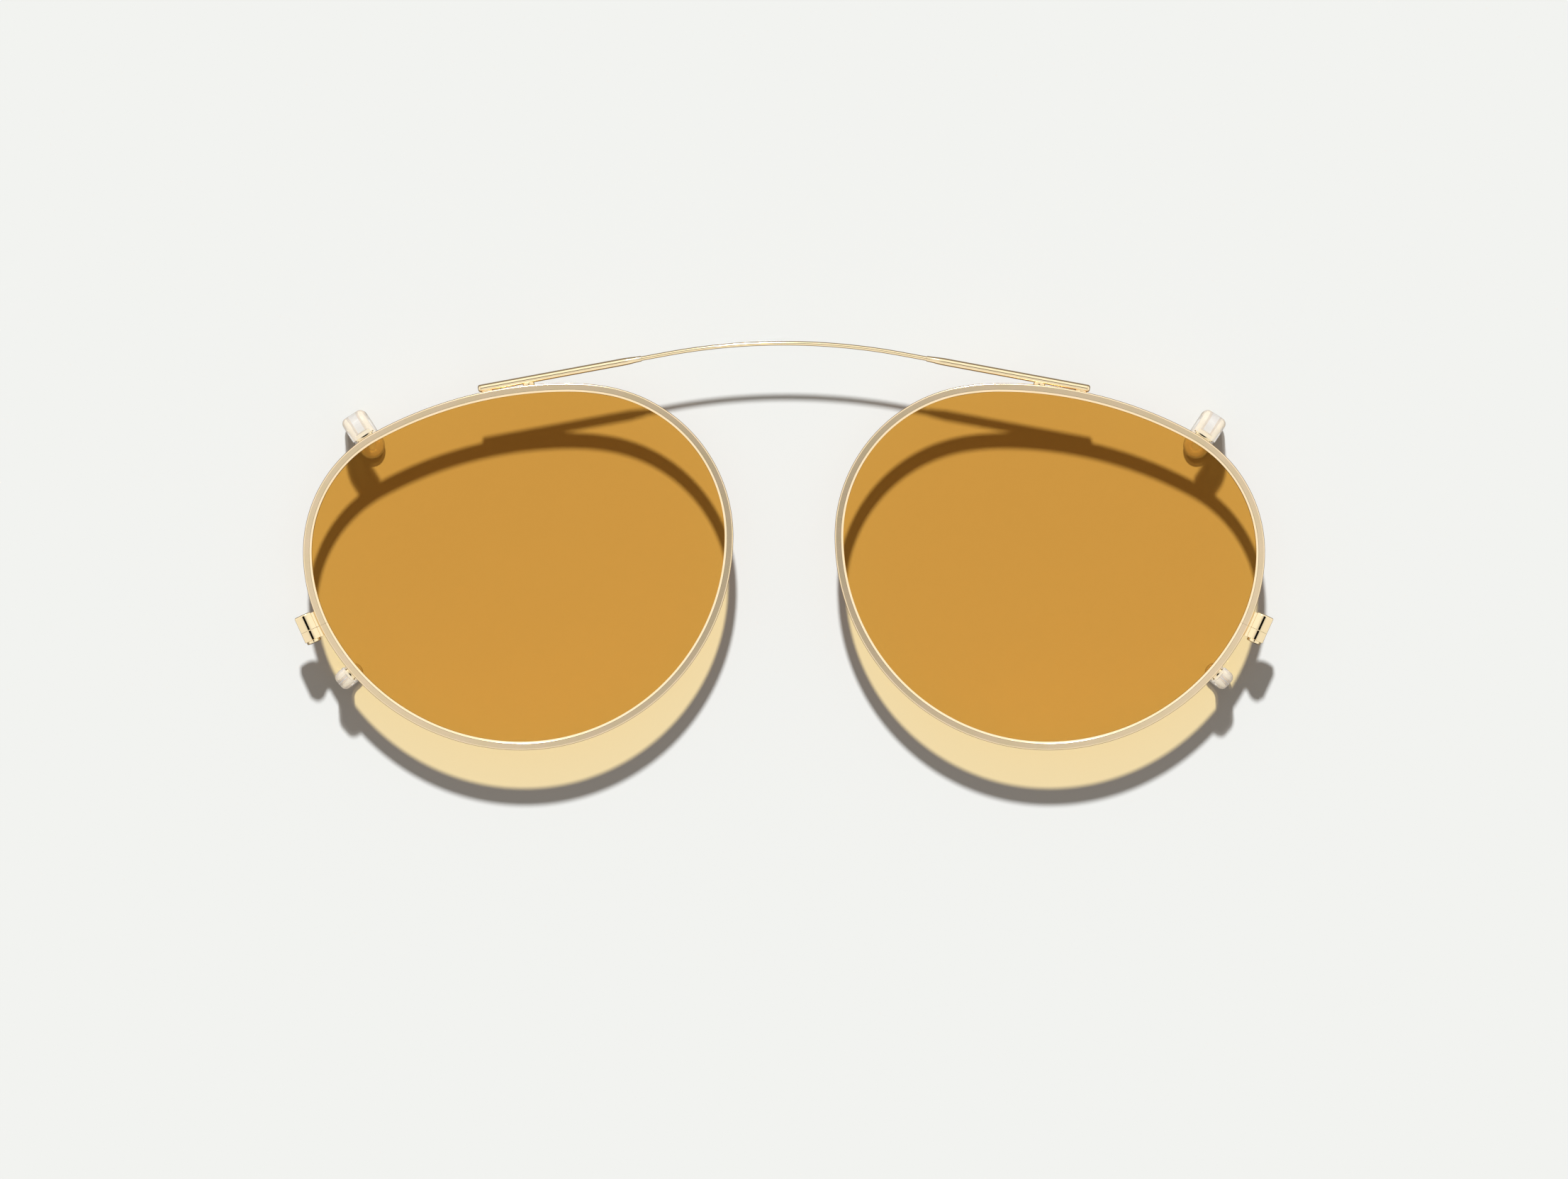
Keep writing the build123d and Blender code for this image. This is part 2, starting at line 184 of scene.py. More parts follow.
def join(tree, *pairs):
    """Link sockets, given in pairs."""
    for out, into in pairs:
        tree.links.new(out, into)


# %% Group: tint drift
def make_tint_drift():
    """Slowly changing tint between two colours, as thin plating has."""
    tree, given, result = new_group(
        "tint drift",
        [("Vector", "NodeSocketVector", None), ("Size", "NodeSocketFloat", 400.0),
         ("Base", "NodeSocketColor", None), ("Drift", "NodeSocketColor", None)],
        [("Color", "NodeSocketColor", None)],
    )
    noise = add_node(tree, "ShaderNodeTexNoise", in_3=3.0, in_4=0.6)
    spread = add_node(tree, "ShaderNodeMapRange", in_1=0.35, in_2=0.65)
    mix = add_node(tree, "ShaderNodeMix", data_type="RGBA")
    join(
        tree,
        (given.outputs["Vector"], noise.inputs["Vector"]),
        (given.outputs["Size"], noise.inputs["Scale"]),
        (noise.outputs["Fac"], spread.inputs["Value"]),
        (spread.outputs["Result"], mix.inputs["Factor"]),
        (given.outputs["Base"], mix.inputs["A"]),
        (given.outputs["Drift"], mix.inputs["B"]),
        (mix.outputs["Result"], result.inputs["Color"]),
    )
    return tree


# %% Group: handling marks
def make_handling_marks():
    """Hairline scratches and faint smears: a roughness and a height."""
    tree, given, result = new_group(
        "handling marks",
        [("Vector", "NodeSocketVector", None), ("Smooth", "NodeSocketFloat", 0.1),
         ("Rough", "NodeSocketFloat", 0.25), ("Size", "NodeSocketFloat", 900.0)],
        [("Roughness", "NodeSocketFloat", None), ("Height", "NodeSocketFloat", None)],
    )
    stretch = add_node(tree, "ShaderNodeMapping")
    stretch.inputs["Rotation"].default_value = (0.3, 0.2, 0.7)
    stretch.inputs["Scale"].default_value = (1.0, 9.0, 5.0)
    lines = add_node(tree, "ShaderNodeTexNoise", in_3=4.0, in_4=0.7)
    smears = add_node(tree, "ShaderNodeTexNoise", in_2=260.0, in_3=2.0)
    thin = add_node(tree, "ShaderNodeMapRange", in_1=0.52, in_2=0.72)
    both = add_node(tree, "ShaderNodeMath", operation="MULTIPLY")
    shine = add_node(tree, "ShaderNodeMapRange", in_1=0.2, in_2=0.8)
    marked = add_node(tree, "ShaderNodeMath", operation="MAXIMUM")
    join(
        tree,
        (given.outputs["Vector"], stretch.inputs["Vector"]),
        (stretch.outputs["Vector"], lines.inputs["Vector"]),
        (given.outputs["Size"], lines.inputs["Scale"]),
        (given.outputs["Vector"], smears.inputs["Vector"]),
        (lines.outputs["Fac"], thin.inputs["Value"]),
        (thin.outputs["Result"], both.inputs[0]),
        (smears.outputs["Fac"], both.inputs[1]),
        (both.outputs["Value"], shine.inputs["Value"]),
        (given.outputs["Smooth"], shine.inputs["To Min"]),
        (given.outputs["Rough"], shine.inputs["To Max"]),
        (shine.outputs["Result"], marked.inputs[0]),
        (given.outputs["Smooth"], marked.inputs[1]),
        (marked.outputs["Value"], result.inputs["Roughness"]),
        (thin.outputs["Result"], result.inputs["Height"]),
    )
    return tree


TINT_DRIFT = make_tint_drift()
HANDLING_MARKS = make_handling_marks()


# %% Metals
def start_material(name):
    """A material with its tree, its Principled shader and Object coordinates."""
    material = bpy.data.materials.new(name)
    material.use_nodes = True
    tree = material.node_tree
    places = tree.nodes.new("ShaderNodeTexCoord")
    return material, tree, tree.nodes["Principled BSDF"], places.outputs["Object"]


def metal(name, base, drift, smooth, rough, bump=0.02):
    """Plated or bare metal with drifting tint and handling marks."""
    material, tree, shader, places = start_material(name)
    shader.inputs["Metallic"].default_value = 1.0
    tint = add_node(tree, "ShaderNodeGroup", node_tree=TINT_DRIFT)
    tint.inputs["Base"].default_value = (*base, 1)
    tint.inputs["Drift"].default_value = (*drift, 1)
    marks = add_node(tree, "ShaderNodeGroup", node_tree=HANDLING_MARKS)
    marks.inputs["Smooth"].default_value = smooth
    marks.inputs["Rough"].default_value = rough
    dents = add_node(tree, "ShaderNodeBump")
    dents.inputs["Strength"].default_value = bump
    dents.inputs["Distance"].default_value = 0.01 * MM
    join(
        tree,
        (places, tint.inputs["Vector"]),
        (places, marks.inputs["Vector"]),
        (tint.outputs["Color"], shader.inputs["Base Color"]),
        (marks.outputs["Roughness"], shader.inputs["Roughness"]),
        (marks.outputs["Height"], dents.inputs["Height"]),
        (dents.outputs["Normal"], shader.inputs["Normal"]),
    )
    return material


RIM_GOLD = metal("rim_gold", (0.87, 0.71, 0.46), (0.90, 0.72, 0.50), 0.13, 0.26)
BRIGHT_GOLD = metal("bright_gold", (0.90, 0.75, 0.48), (0.93, 0.76, 0.50), 0.05, 0.14)
SOLDER_GOLD = metal("solder_gold", (0.84, 0.66, 0.38), (0.90, 0.74, 0.48), 0.10, 0.24, 0.05)
SPRING_STEEL = metal("spring_steel", (0.55, 0.56, 0.57), (0.62, 0.62, 0.60), 0.22, 0.35)

# %% [markdown]
# ## Amber lens
# A sun lens is tinted all through. Real glass in a path tracer blocks lamps, so the floor under
# it would be black. Rays that go to a lamp therefore meet a clear tinted filter instead, which
# lays the amber light on the surface below, as the real lens does.

# %% Helper for see-through pieces
def let_light_through(tree, shader, rays, lamp_color, sky_color):
    """Swap the shader for a plain filter where a ray comes from a lamp or from the table."""
    surface = shader.outputs["BSDF"]
    for ray, color in (("Is Diffuse Ray", sky_color), ("Is Shadow Ray", lamp_color)):
        clear = tree.nodes.new("ShaderNodeBsdfTransparent")
        if isinstance(color, bpy.types.NodeSocket):
            join(tree, (color, clear.inputs["Color"]))
        else:
            clear.inputs["Color"].default_value = (*color, 1)
        choose = tree.nodes.new("ShaderNodeMixShader")
        join(
            tree,
            (rays.outputs[ray], choose.inputs["Fac"]),
            (surface, choose.inputs[1]),
            (clear.outputs["BSDF"], choose.inputs[2]),
        )
        surface = choose.outputs["Shader"]
    join(tree, (surface, tree.nodes["Material Output"].inputs["Surface"]))


# %% Lens material
# A filter counts at each face, so its square is what gets through the lens.
LENS_TINT = (0.730, 0.3836, 0.0734)
LENS_LAMP = (1.0, 0.87, 0.594)
LENS_SKY = (0.984, 0.835, 0.738)


def make_lens_material():
    """Tinted see-through plastic with a hard coat."""
    material, tree, shader, places = start_material("amber_lens")
    shader.inputs["Transmission Weight"].default_value = 1.0
    shader.inputs["IOR"].default_value = 1.5
    shader.inputs["Roughness"].default_value = 0.0
    tint = add_node(tree, "ShaderNodeGroup", node_tree=TINT_DRIFT)
    tint.inputs["Size"].default_value = 60.0
    tint.inputs["Base"].default_value = (*LENS_TINT, 1)
    tint.inputs["Drift"].default_value = (*[c * 0.99 for c in LENS_TINT], 1)
    rays = tree.nodes.new("ShaderNodeLightPath")
    seen_through = add_node(tree, "ShaderNodeMath", operation="MINIMUM", in_1=1.0)
    shade = add_node(tree, "ShaderNodeMix", data_type="RGBA")
    shade.inputs["A"].default_value = (*LENS_LAMP, 1)
    shade.inputs["B"].default_value = (1, 1, 1, 1)
    join(
        tree,
        (places, tint.inputs["Vector"]),
        (tint.outputs["Color"], shader.inputs["Base Color"]),
        (rays.outputs["Transmission Depth"], seen_through.inputs[0]),
        (seen_through.outputs["Value"], shade.inputs["Factor"]),
    )
    let_light_through(tree, shader, rays, shade.outputs["Result"], LENS_SKY)
    return material


AMBER = make_lens_material()

# %% [markdown]
# ## Clear sleeve
# The sleeves are soft clear plastic tube. Light is bent at the outside and again at the bore,
# which gives the thin dark and bright lines along the wires inside.

# %% Sleeve material
SLEEVE_LAMP = (0.36, 0.35, 0.34)
SLEEVE_SKY = (0.9, 0.9, 0.9)
SLEEVE_PAINTED_GLOW = 0.11                # painted glow: faint light the sleeve gives off, though it is no lamp


def make_sleeve_material():
    """Clear soft plastic with a slightly uneven surface."""
    material, tree, shader, places = start_material("clear_sleeve")
    shader.inputs["Base Color"].default_value = (0.96, 0.96, 0.95, 1)
    shader.inputs["Transmission Weight"].default_value = 0.77
    shader.inputs["IOR"].default_value = 1.28
    # Painted glow: a faint emission makes the sleeve shine by itself.
    shader.inputs["Emission Color"].default_value = (1.0, 0.98, 0.95, 1)
    shader.inputs["Emission Strength"].default_value = SLEEVE_PAINTED_GLOW
    ripple = add_node(tree, "ShaderNodeTexNoise", in_2=700.0, in_3=2.0)
    uneven = add_node(tree, "ShaderNodeMapRange", in_3=0.02, in_4=0.09)
    dents = add_node(tree, "ShaderNodeBump")
    dents.inputs["Strength"].default_value = 0.12
    dents.inputs["Distance"].default_value = 0.05 * MM
    rays = tree.nodes.new("ShaderNodeLightPath")
    join(
        tree,
        (places, ripple.inputs["Vector"]),
        (ripple.outputs["Fac"], uneven.inputs["Value"]),
        (uneven.outputs["Result"], shader.inputs["Roughness"]),
        (ripple.outputs["Fac"], dents.inputs["Height"]),
        (dents.outputs["Normal"], shader.inputs["Normal"]),
    )
    let_light_through(tree, shader, rays, SLEEVE_LAMP, SLEEVE_SKY)
    return material


CLEAR_SLEEVE = make_sleeve_material()
CLEAR_FACES = 5.5                 # a ray through more clear faces is behind a lens and a sleeve, where shade is painted

# %% [markdown]
# ## Making a piece
# The clip is the same on both sides, so each piece is shaped once for the right side. The left
# one is its mirror image. Mirroring turns a mesh inside out, so its normals are worked out again.

# %% Piece helpers
def finish_mesh(bm, merge=0.0005 * MM):
    """Merge what lies together and point every face outwards."""
    bmesh.ops.remove_doubles(bm, verts=bm.verts[:], dist=merge)
    bmesh.ops.recalc_face_normals(bm, faces=bm.faces[:])


def place(name, bm, material, body, nodes, smooth_angle=35):
    """Turn a bmesh into a piece that rides on a body and stands for CAD nodes."""
    mesh = bpy.data.meshes.new(name)
    bm.to_mesh(mesh)
    mesh.shade_smooth()
    mesh.set_sharp_from_angle(angle=math.radians(smooth_angle))
    mesh.materials.append(material)
    piece = bpy.data.objects.new(name, mesh)
    bpy.context.scene.collection.objects.link(piece)
    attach(piece, body)
    if nodes:
        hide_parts(*nodes)
    print(name, len(mesh.vertices), "points,", len(mesh.polygons), "faces")
    return piece


def mirrored(bm, sign):
    """A copy for one side: 1 keeps the right side, -1 makes the left one."""
    copy = bm.copy()
    bmesh.ops.scale(copy, vec=(sign, 1, 1), verts=copy.verts[:])
    bmesh.ops.recalc_face_normals(copy, faces=copy.faces[:])
    return copy


def place_pair(name, bm, material, nodes, smooth_angle=35):
    """Place a piece of the right eyewire and its mirror image on the left one."""
    finish_mesh(bm)
    for side, sign in SIDES.items():
        copy = mirrored(bm, sign)
        stood_for = [side + "_" + node for node in nodes]
        place(side + "_" + name, copy, material, side + "_eyewire", stood_for, smooth_angle)
        copy.free()
    bm.free()


def loop_of(bm, points, closed=True):
    """A chain of edges through some points."""
    verts = [bm.verts.new(p) for p in points]
    pairs = list(zip(verts, verts[1:]))
    if closed:
        pairs.append((verts[-1], verts[0]))
    return [bm.edges.new(pair) for pair in pairs]


def verts_of(edges):
    """The points of some edges, once each."""
    return list({v for e in edges for v in e.verts})


def edges_in(geometry):
    """Only the edges of what an operator returned."""
    return [g for g in geometry if isinstance(g, bmesh.types.BMEdge)]


def spin(bm, edges, centre, axis, turn, steps):
    """Spin a loop of edges and give its last copy."""
    made = bmesh.ops.spin(
        bm, geom=verts_of(edges) + edges, cent=centre, axis=axis, angle=turn, steps=steps
    )
    return edges_in(made["geom_last"])


def draw_out(bm, edges, move):
    """Extrude a loop of edges along a vector and give its new copy."""
    made = edges_in(bmesh.ops.extrude_edge_only(bm, edges=edges)["geom"])
    moved = [e for e in made if all(v.is_boundary or v.is_wire for v in e.verts)]
    bmesh.ops.translate(bm, vec=move, verts=verts_of(moved))
    return moved


def cap(bm, edges):
    """Close a loop of edges with one face."""
    bmesh.ops.contextual_create(bm, geom=edges)


LAND = 0.012 * MM                 # a narrow strip beside a rounding keeps the flat face flat


def rounded(corners, radii, steps=5):
    """A polygon in two dimensions whose corners are rounded, as a list of points."""
    points = []
    for i, (corner, radius) in enumerate(zip(corners, radii)):
        here = Vector(corner)
        if radius == 0:
            points.append(here)
            continue
        back = (Vector(corners[i - 1]) - here).normalized()
        on = (Vector(corners[(i + 1) % len(corners)]) - here).normalized()
        half = back.angle(on) / 2
        centre = here + (back + on).normalized() * (radius / math.sin(half))
        first = here + back * (radius / math.tan(half)) - centre
        last = here + on * (radius / math.tan(half)) - centre
        sweep = first.angle_signed(last)
        points.append(centre + first + back * LAND)
        for step in range(steps + 1):
            points.append(centre + Matrix.Rotation(-sweep * step / steps, 2) @ first)
        points.append(centre + last + on * LAND)
    return points


# %% [markdown]
# ## Eyewire
# An eyewire is drawn wire with a groove inside for the lens. Its section is drawn once as a
# closed loop: a face that falls slightly outwards, a polished lip beside the lens and the
# groove. Spinning the section round the middle of each arc in turn carries it round the lens.

# %% Eyewire
FACE_FALL = 0.055 * MM            # how much lower the face is outside than inside
OUTER_ROUND = 0.18 * MM
BACK_ROUND = 0.42 * MM            # of the outer edge at the back
INNER_BACK_ROUND = 0.16 * MM
GROOVE_ROUNDS = (0.02 * MM, 0.03 * MM)         # its upper and lower edge
LIP_WIDTH = 0.25 * MM
LIP_DROP = 0.15 * MM
LIP_ROUND = 0.16 * MM             # the soft edge between face and lip
GROOVE = (0.48 * MM, 0.08 * MM, 0.4 * MM)      # half height outside, inside, and depth
SLIT = 0.025 * MM
BLOCK_ARC, BLOCK_SHARE = 7, 0.16
BLOCK_SPLIT_DOWN = 0.42 * MM      # the split below the middle of the closing block
STEP_TURN = math.radians(1.6)


def section_ring(bm, number, share, profile, height):
    """A closed loop of edges across the outline, from (out, up) pairs."""
    point, out = station(number, share)
    return loop_of(bm, [point + out * p[0] + UP * (height + p[1]) for p in profile])


def turns_from(number, share):
    """The arcs from a place on the outline once round to the same place."""
    first = [(number, share, 1.0)]
    others = [((number + i) % 8, 0.0, 1.0) for i in range(1, 8)]
    return first + others + [(number, 0.0, share)]


def round_outline(bm, ring, legs):
    """Spin a ring along legs of the outline, each an arc with its start and end share."""
    for number, start, end in legs:
        a = ARCS[number]
        turn = a["turn"] * (end - start)
        steps = max(2, round(abs(turn) / STEP_TURN))
        ring = spin(bm, ring, a["centre"], UP, turn, steps)
    return ring


def make_rim():
    """Eyewire with its face, lip and groove, open at the slit."""
    half = (RIM_TOP - RIM_BACK) / 2
    g_out, g_in, g_deep = GROOVE
    corners = [
        (0, half - LIP_DROP), (0, g_out), (g_deep, g_in), (g_deep, -g_in), (0, -g_out), (0, -half),
        (RIM_WIDTH, -half), (RIM_WIDTH, half - FACE_FALL), (LIP_WIDTH, half),
    ]
    upper, lower = GROOVE_ROUNDS
    radii = [upper, upper, 0, 0, lower, INNER_BACK_ROUND, BACK_ROUND, OUTER_ROUND, LIP_ROUND]
    bm = bmesh.new()
    radius = (ARCS[BLOCK_ARC]["start"] - ARCS[BLOCK_ARC]["centre"]).length
    slit_share = BLOCK_SHARE - BLOCK_SPLIT_DOWN / radius / ARCS[BLOCK_ARC]["turn"]
    slit_half = SLIT / 2 / radius / ARCS[BLOCK_ARC]["turn"]
    ring = section_ring(bm, BLOCK_ARC, slit_share + slit_half, rounded(corners, radii), RIM_MID)
    cap(bm, ring)
    legs = turns_from(BLOCK_ARC, slit_share)
    legs[0] = (BLOCK_ARC, slit_share + slit_half, 1.0)
    legs[-1] = (BLOCK_ARC, 0.0, slit_share - slit_half)
    cap(bm, round_outline(bm, ring, legs))
    return bm


place_pair("eyewire", make_rim(), RIM_GOLD, ["rim"])

# %% [markdown]
# ## Lens
# The lens edge is a V that sits in the groove. The edge is spun like the eyewire, and each flat
# face is one large polygon inside it. A narrow ring of faces beside the edge keeps the smooth
# shading of the bevel from leaking on to the flat face.

# %% Lens
EDGE_LAND = 0.25 * MM


def make_lens():
    """Flat lens with a V bevel round its edge."""
    half = (lens_high.z - lens_low.z) / 2
    tip = half - LENS_BEVEL
    profile = [(-LENS_FACE_IN, half), (LENS_IN_GROOVE, tip), (LENS_IN_GROOVE, -tip), (-LENS_FACE_IN, -half)]
    bm = bmesh.new()
    point, out = station(0, 0.0)
    ring = loop_of(bm, [point + out * p[0] + UP * (LENS_MID.z + p[1]) for p in profile], closed=False)
    round_outline(bm, ring, [(number, 0.0, 1.0) for number in range(8)])
    bmesh.ops.remove_doubles(bm, verts=bm.verts[:], dist=0.001 * MM)
    for level in (half, -half):
        rim = [e for e in bm.edges if e.is_boundary and abs(e.verts[0].co.z - LENS_MID.z - level) < 1e-6]
        cap(bm, rim)
    flats = [f for f in bm.faces if len(f.verts) > 4]
    bmesh.ops.inset_individual(bm, faces=flats, thickness=EDGE_LAND)
    return bm


place_pair("amber_lens", make_lens(), AMBER, ["lens"], smooth_angle=20)

# %% [markdown]
# ## Closing block
# The eyewire is cut once so that the lens can go in. A small block is soldered over the cut and
# sawn across, and a screw draws its two halves together. The block has a softly crowned face,
# a rounded upper end, and a narrow rail between it and the eyewire.

# %% Closing block
BLOCK_LENGTH = 3.5 * MM
BLOCK_WIDTH = 2.2 * MM
BLOCK_DEPTH = 1.6 * MM
BLOCK_GAP = 0.4 * MM
RAIL_DEPTH = 0.9 * MM
RAIL_FALL = 0.17 * MM             # its face leans towards the eyewire
CROWN = 0.21 * MM                 # the face is higher in its middle than beside it
CROWN_STEPS = 8
CORNER = 0.12 * MM
END_STEPS = 5
END_ROUND = 0.2 * MM

block_point, block_out = station(BLOCK_ARC, BLOCK_SHARE)
block_along = UP.cross(block_out)
block_middle = block_point + block_out * (RIM_WIDTH + BLOCK_GAP + BLOCK_WIDTH / 2) + UP * RIM_MID


def crowned_section(width, depth, crown, corner):
    """A rounded rectangle whose upper and lower faces are crowned."""
    half_w, half_d = width / 2, depth / 2
    flat, low = half_w - corner, half_d - crown - corner
    turns = [math.pi / 2 * step / END_STEPS for step in range(1, END_STEPS)]
    half = []
    for step in range(CROWN_STEPS + 1):
        x = -1 + 2 * step / CROWN_STEPS
        half.append(Vector((flat * x, half_d - crown * x * x)))
    half += [Vector((flat + corner * math.sin(t), low + corner * math.cos(t))) for t in turns]
    half += [Vector((half_w, low)), Vector((half_w, -low))]
    half += [Vector((flat + corner * math.cos(t), -low - corner * math.sin(t))) for t in turns]
    return half + [-p for p in half]


def block_ring(bm, section, v, shrink=0.0):
    """The block's section at v along it, drawn in by a margin."""
    half_w, half_d = BLOCK_WIDTH / 2, BLOCK_DEPTH / 2
    at = block_middle + block_along * v
    scale_u, scale_z = 1 - shrink / half_w, 1 - shrink / half_d
    return loop_of(bm, [at + block_out * (p.x * scale_u) + UP * (p.y * scale_z) for p in section])


def rail(bm, v_top, v_bottom):
    """The narrow rail between a block half and the eyewire."""
    start = block_point + block_out * (RIM_WIDTH - 0.05 * MM) + UP * RIM_MID
    width, half = BLOCK_GAP + 0.15 * MM, RAIL_DEPTH / 2
    section = rounded(
        [(0, -half), (width, -half), (width, half), (0, half - RAIL_FALL)],
        [0.05 * MM, 0.02 * MM, 0.02 * MM, 0.05 * MM],
    )
    ring = loop_of(bm, [start + block_along * v_top + block_out * p[0] + UP * p[1] for p in section])
    cap(bm, ring)
    cap(bm, draw_out(bm, ring, block_along * (v_bottom - v_top)))


def make_block_half(v_top, v_bottom, round_top, round_bottom):
    """Half of the closing block, from v_top down to v_bottom, with its piece of rail."""
    section = crowned_section(BLOCK_WIDTH, BLOCK_DEPTH, CROWN, CORNER)
    bm = bmesh.new()
    levels = []
    for end, radius, way in ((v_top, round_top, -1), (v_bottom, round_bottom, 1)):
        steps = [(end + way * (radius + LAND), 0)]
        for step in range(END_STEPS + 1):
            turn = math.pi / 2 * step / END_STEPS
            steps.append((end + way * radius * (1 - math.sin(turn)), radius * (1 - math.cos(turn))))
        levels.append(steps)
    order = levels[0][::-1] + levels[1]
    rings = [block_ring(bm, section, v, shrink) for v, shrink in order]
    cap(bm, rings[0])
    for ring, following in zip(rings, rings[1:]):
        bmesh.ops.bridge_loops(bm, edges=ring + following)
    cap(bm, rings[-1])
    rail(bm, v_top - round_top, v_bottom)
    return bm


split_v = -BLOCK_SPLIT_DOWN
SAW_EDGE = 0.03 * MM
place_pair(
    "block_upper_half",
    make_block_half(BLOCK_LENGTH / 2, split_v + SLIT / 2, END_ROUND, SAW_EDGE),
    BRIGHT_GOLD, ["closing_block_upper"],
)
place_pair(
    "block_lower_half",
    make_block_half(split_v - SLIT / 2, -BLOCK_LENGTH / 2, SAW_EDGE, 0.06 * MM),
    BRIGHT_GOLD, ["closing_block_lower"],
)
print("closing block middle in mm", [round(c / MM, 2) for c in block_middle])

# %% [markdown]
# ## Closing screw
# The screw is turned from rod, so half of its outline is drawn once and spun all the way round
# the screw's axis. The driver's slot is cut afterwards: two cuts mark its sides and one its
# floor, the metal between them is taken out, and the walls are filled in.

# %% Closing screw
SCREW_R = 0.45 * MM
SCREW_TIP = 1.45 * MM             # how far up the block the screw reaches
HEAD_R = 0.95 * MM
HEAD_TALL = 0.4 * MM
HEAD_ROUND = 0.12 * MM
HEAD_CROWN = 0.05 * MM
SCREW_CHAMFER = 0.1 * MM
SLOT_HALF = 0.125 * MM
SLOT_DEEP = 0.18 * MM
TURNED_STEPS = 48


def turned(bm, base, axis, across, profile, steps=TURNED_STEPS):
    """Spin an open profile of (along, radius) pairs all the way round an axis."""
    edges = loop_of(bm, [base + axis * p[0] + across * p[1] for p in profile], closed=False)
    bmesh.ops.spin(
        bm, geom=verts_of(edges) + edges, cent=base, axis=axis, angle=math.tau, steps=steps, use_merge=True
    )
    bmesh.ops.remove_doubles(bm, verts=bm.verts[:], dist=0.0005 * MM)


def quarter(along, radius, size, steps=5):
    """A quarter round of a turned profile, ending at (along, radius)."""
    turns = [math.pi / 2 * step / steps for step in range(steps + 1)]
    return [(along - size * (1 - math.sin(t)), radius + size * math.cos(t)) for t in turns]


def make_screw():
    """Closing screw with its slotted head, along the block's own direction."""
    base = block_middle - block_along * (BLOCK_LENGTH / 2)
    down = -block_along
    head = quarter(HEAD_TALL - HEAD_CROWN, HEAD_R - HEAD_ROUND, HEAD_ROUND)
    tip = -SCREW_TIP - BLOCK_LENGTH / 2
    profile = [(tip, 0), (tip, SCREW_R - SCREW_CHAMFER)]
    profile += [(tip + SCREW_CHAMFER, SCREW_R), (0, SCREW_R), (0, HEAD_R)]
    profile += head + [(HEAD_TALL - HEAD_CROWN / 4, HEAD_R / 2), (HEAD_TALL, 0)]
    bm = bmesh.new()
    turned(bm, base, down, block_out, profile)
    slot_floor = base + down * (HEAD_TALL - SLOT_DEEP)
    for point, normal in ((slot_floor, down), (base + UP * SLOT_HALF, UP), (base - UP * SLOT_HALF, UP)):
        everything = bm.verts[:] + bm.edges[:] + bm.faces[:]
        bmesh.ops.bisect_plane(bm, geom=everything, plane_co=point, plane_no=normal)
    near = 0.002 * MM
    in_slot = [
        f for f in bm.faces
        if abs((f.calc_center_median() - base).dot(UP)) < SLOT_HALF
        and (f.calc_center_median() - slot_floor).dot(down) > 0
    ]
    bmesh.ops.delete(bm, geom=in_slot, context="FACES")
    open_verts = [v for v in bm.verts if v.is_boundary]
    for side in (1, -1):
        wall = [v for v in open_verts if abs((v.co - base).dot(UP) - side * SLOT_HALF) < near]
        bmesh.ops.contextual_create(bm, geom=wall)
    floor = [v for v in open_verts if abs((v.co - slot_floor).dot(down)) < near]
    bmesh.ops.contextual_create(bm, geom=floor)
    return bm


place_pair("slotted_screw", make_screw(), BRIGHT_GOLD, ["closing_screw"])

# %% [markdown]
# ## Bridge
# The bridge is one springy wire: a shallow bow with two straight ends. Each end slides in a
# tube with a drawn-down neck, against a small coil spring. The bow is a circle spun round the
# bow's centre, and the straight ends are drawn out from it.

# %% Bridge wire
SLOPE = math.radians(10.5)
BOW_RADIUS = 83.2 * MM
WIRE_LEAD = 3.2 * MM
WIRE_R = (wire_high.z - wire_low.z) / 2
WIRE_Z = (wire_high.z + wire_low.z) / 2
ROUND_STEPS = 32
BOW_STEPS = 60

bow_centre = Vector((0, wire_high.y - WIRE_R - BOW_RADIUS, WIRE_Z))
tube_dir = Vector((math.cos(SLOPE), -math.sin(SLOPE), 0))
tube_up = Vector((math.sin(SLOPE), math.cos(SLOPE), 0))
bow_end = bow_centre + tube_up * BOW_RADIUS
tube_start = bow_end + tube_dir * WIRE_LEAD
wire_reach = (wire_high.x - WIRE_R * tube_up.x - bow_end.x) / tube_dir.x


def circle(bm, centre, across, up, radius, steps=ROUND_STEPS):
    """A closed ring of edges in the plane of two directions."""
    turns = [math.tau * step / steps for step in range(steps)]
    return loop_of(bm, [centre + (across * math.cos(t) + up * math.sin(t)) * radius for t in turns])


def make_bridge_wire():
    """Bowed wire with its two straight ends."""
    bm = bmesh.new()
    first = circle(bm, bow_end, tube_up, UP, WIRE_R)
    last = spin(bm, first, bow_centre, UP, 2 * SLOPE, BOW_STEPS)
    left_dir = Vector((-tube_dir.x, tube_dir.y, 0))
    for ring, way in ((first, tube_dir), (last, left_dir)):
        cap(bm, draw_out(bm, ring, way * wire_reach))
    return bm


wire_mesh = make_bridge_wire()
finish_mesh(wire_mesh)
place("bridge_bow", wire_mesh, BRIGHT_GOLD, "bridge", ["bridge_wire"])
print("wire thickness in mm", round(2 * WIRE_R / MM, 2), "half length", round(wire_high.x / MM, 2))

# %% [markdown]
# ## Tubes and plugs
# A tube is turned too. Its outline runs up the bore, round the thin lip of the neck and down
# the outside, so that the wall is really there when the bridge is pulled out. The plug closes
# the outer end with a polished dome.

